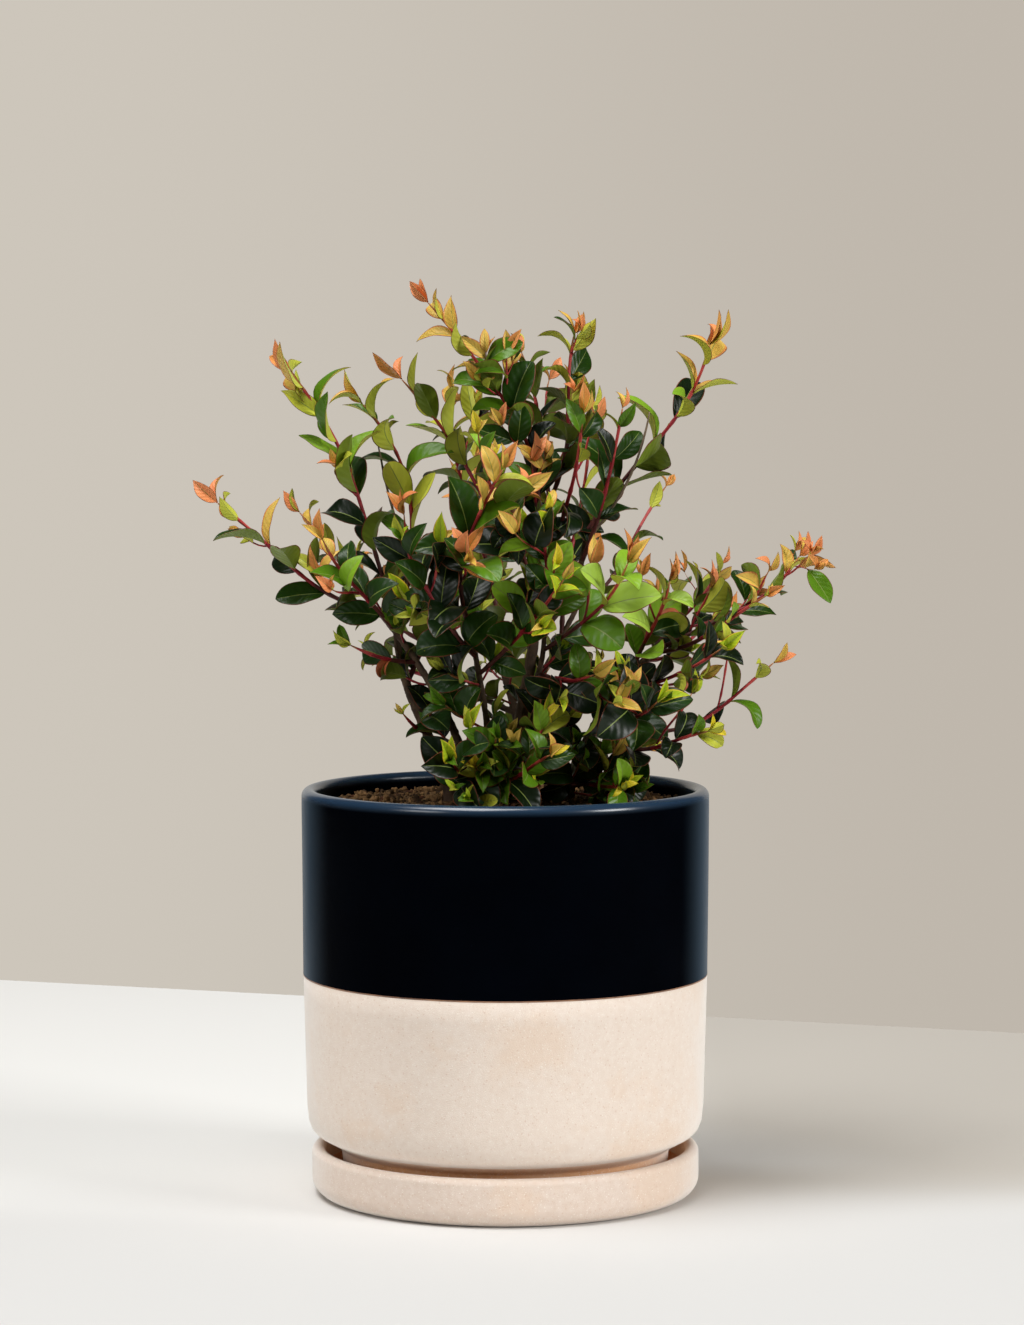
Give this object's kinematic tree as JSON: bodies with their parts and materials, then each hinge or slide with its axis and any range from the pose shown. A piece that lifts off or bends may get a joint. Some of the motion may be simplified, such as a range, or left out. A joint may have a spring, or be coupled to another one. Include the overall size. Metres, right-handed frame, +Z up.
{
  "type": "potted crape myrtle",
  "caption": "Young crape myrtle shrub with spreading stems, glossy leaves in pairs and copper young tips, in a round part-glazed clay pot on a clay saucer.",
  "frame": {"origin": "centre of the saucer's flat underside, on the pot's axis", "axes": "+Z up along the pot's axis, -Y towards the side seen in the picture, +X to its right"},
  "size_m": [0.3972, 0.2888, 0.5761],
  "materials": {
    "saucer_clay": "bare fired clay, matte",
    "pot_glaze": "satin near-black navy glaze",
    "potting_soil": "crumbly, moist and matte",
    "bark": "thin grey-brown bark",
    "dead_wood": "dry and bare",
    "foliage_dark": "glossy mature leaves",
    "foliage_light": "satin light green leaves",
    "foliage_lime": "satin yellow-green leaves",
    "foliage_olive": "satin olive green leaves",
    "foliage_copper": "satin copper young leaves"
  },
  "bodies": {
    "root": {"back_left_bough": "bark", "back_right_bough": "bark", "back_stem": "bark", "centre_right_bough": "bark", "centre_stem": "bark", "centre_top_bough": "bark", "dead_twig_left": "dead_wood", "dead_twig_right": "dead_wood", "front_bough": "bark", "inner_left_stem": "bark", "left_low_stem": "bark", "left_stem": "bark", "pot": "pot_glaze", "right_back_bough": "bark", "right_low_bough": "bark", "right_stem": "bark", "saucer": "saucer_clay", "soil": "potting_soil", "spray_back_high": "foliage_olive", "spray_back_left": "foliage_copper", "spray_back_left_low": "foliage_dark", "spray_back_low": "foliage_dark", "spray_back_middle": "foliage_copper", "spray_back_right": "foliage_olive", "spray_back_right_high": "foliage_olive", "spray_back_right_low": "foliage_copper", "spray_far_left": "foliage_copper", "spray_far_right": "foliage_copper", "spray_front_heart": "foliage_dark", "spray_front_left": "foliage_copper", "spray_front_low": "foliage_lime", "spray_front_middle": "foliage_lime", "spray_front_right": "foliage_light", "spray_high_left": "foliage_olive", "spray_left_foot": "foliage_dark", "spray_left_front": "foliage_olive", "spray_left_inside": "foliage_dark", "spray_left_low": "foliage_dark", "spray_left_middle": "foliage_olive", "spray_left_of_front": "foliage_dark", "spray_low_front": "foliage_lime", "spray_low_left": "foliage_dark", "spray_middle_low": "foliage_dark", "spray_right_front": "foliage_olive", "spray_right_heart": "foliage_dark", "spray_right_low": "foliage_copper", "spray_right_lower": "foliage_dark", "spray_right_lowest": "foliage_lime", "spray_right_middle": "foliage_light", "spray_right_of_top": "foliage_olive", "spray_right_upper": "foliage_copper", "spray_rim_right": "foliage_dark", "spray_soil_right": "foliage_lime", "spray_top_back": "foliage_olive", "spray_top_front": "foliage_copper", "spray_top_left": "foliage_copper", "spray_top_middle": "foliage_copper", "spray_upper_left": "foliage_olive", "spray_upper_right": "foliage_olive", "spray_yellow_bud": "foliage_lime"}
  },
  "joints": []
}
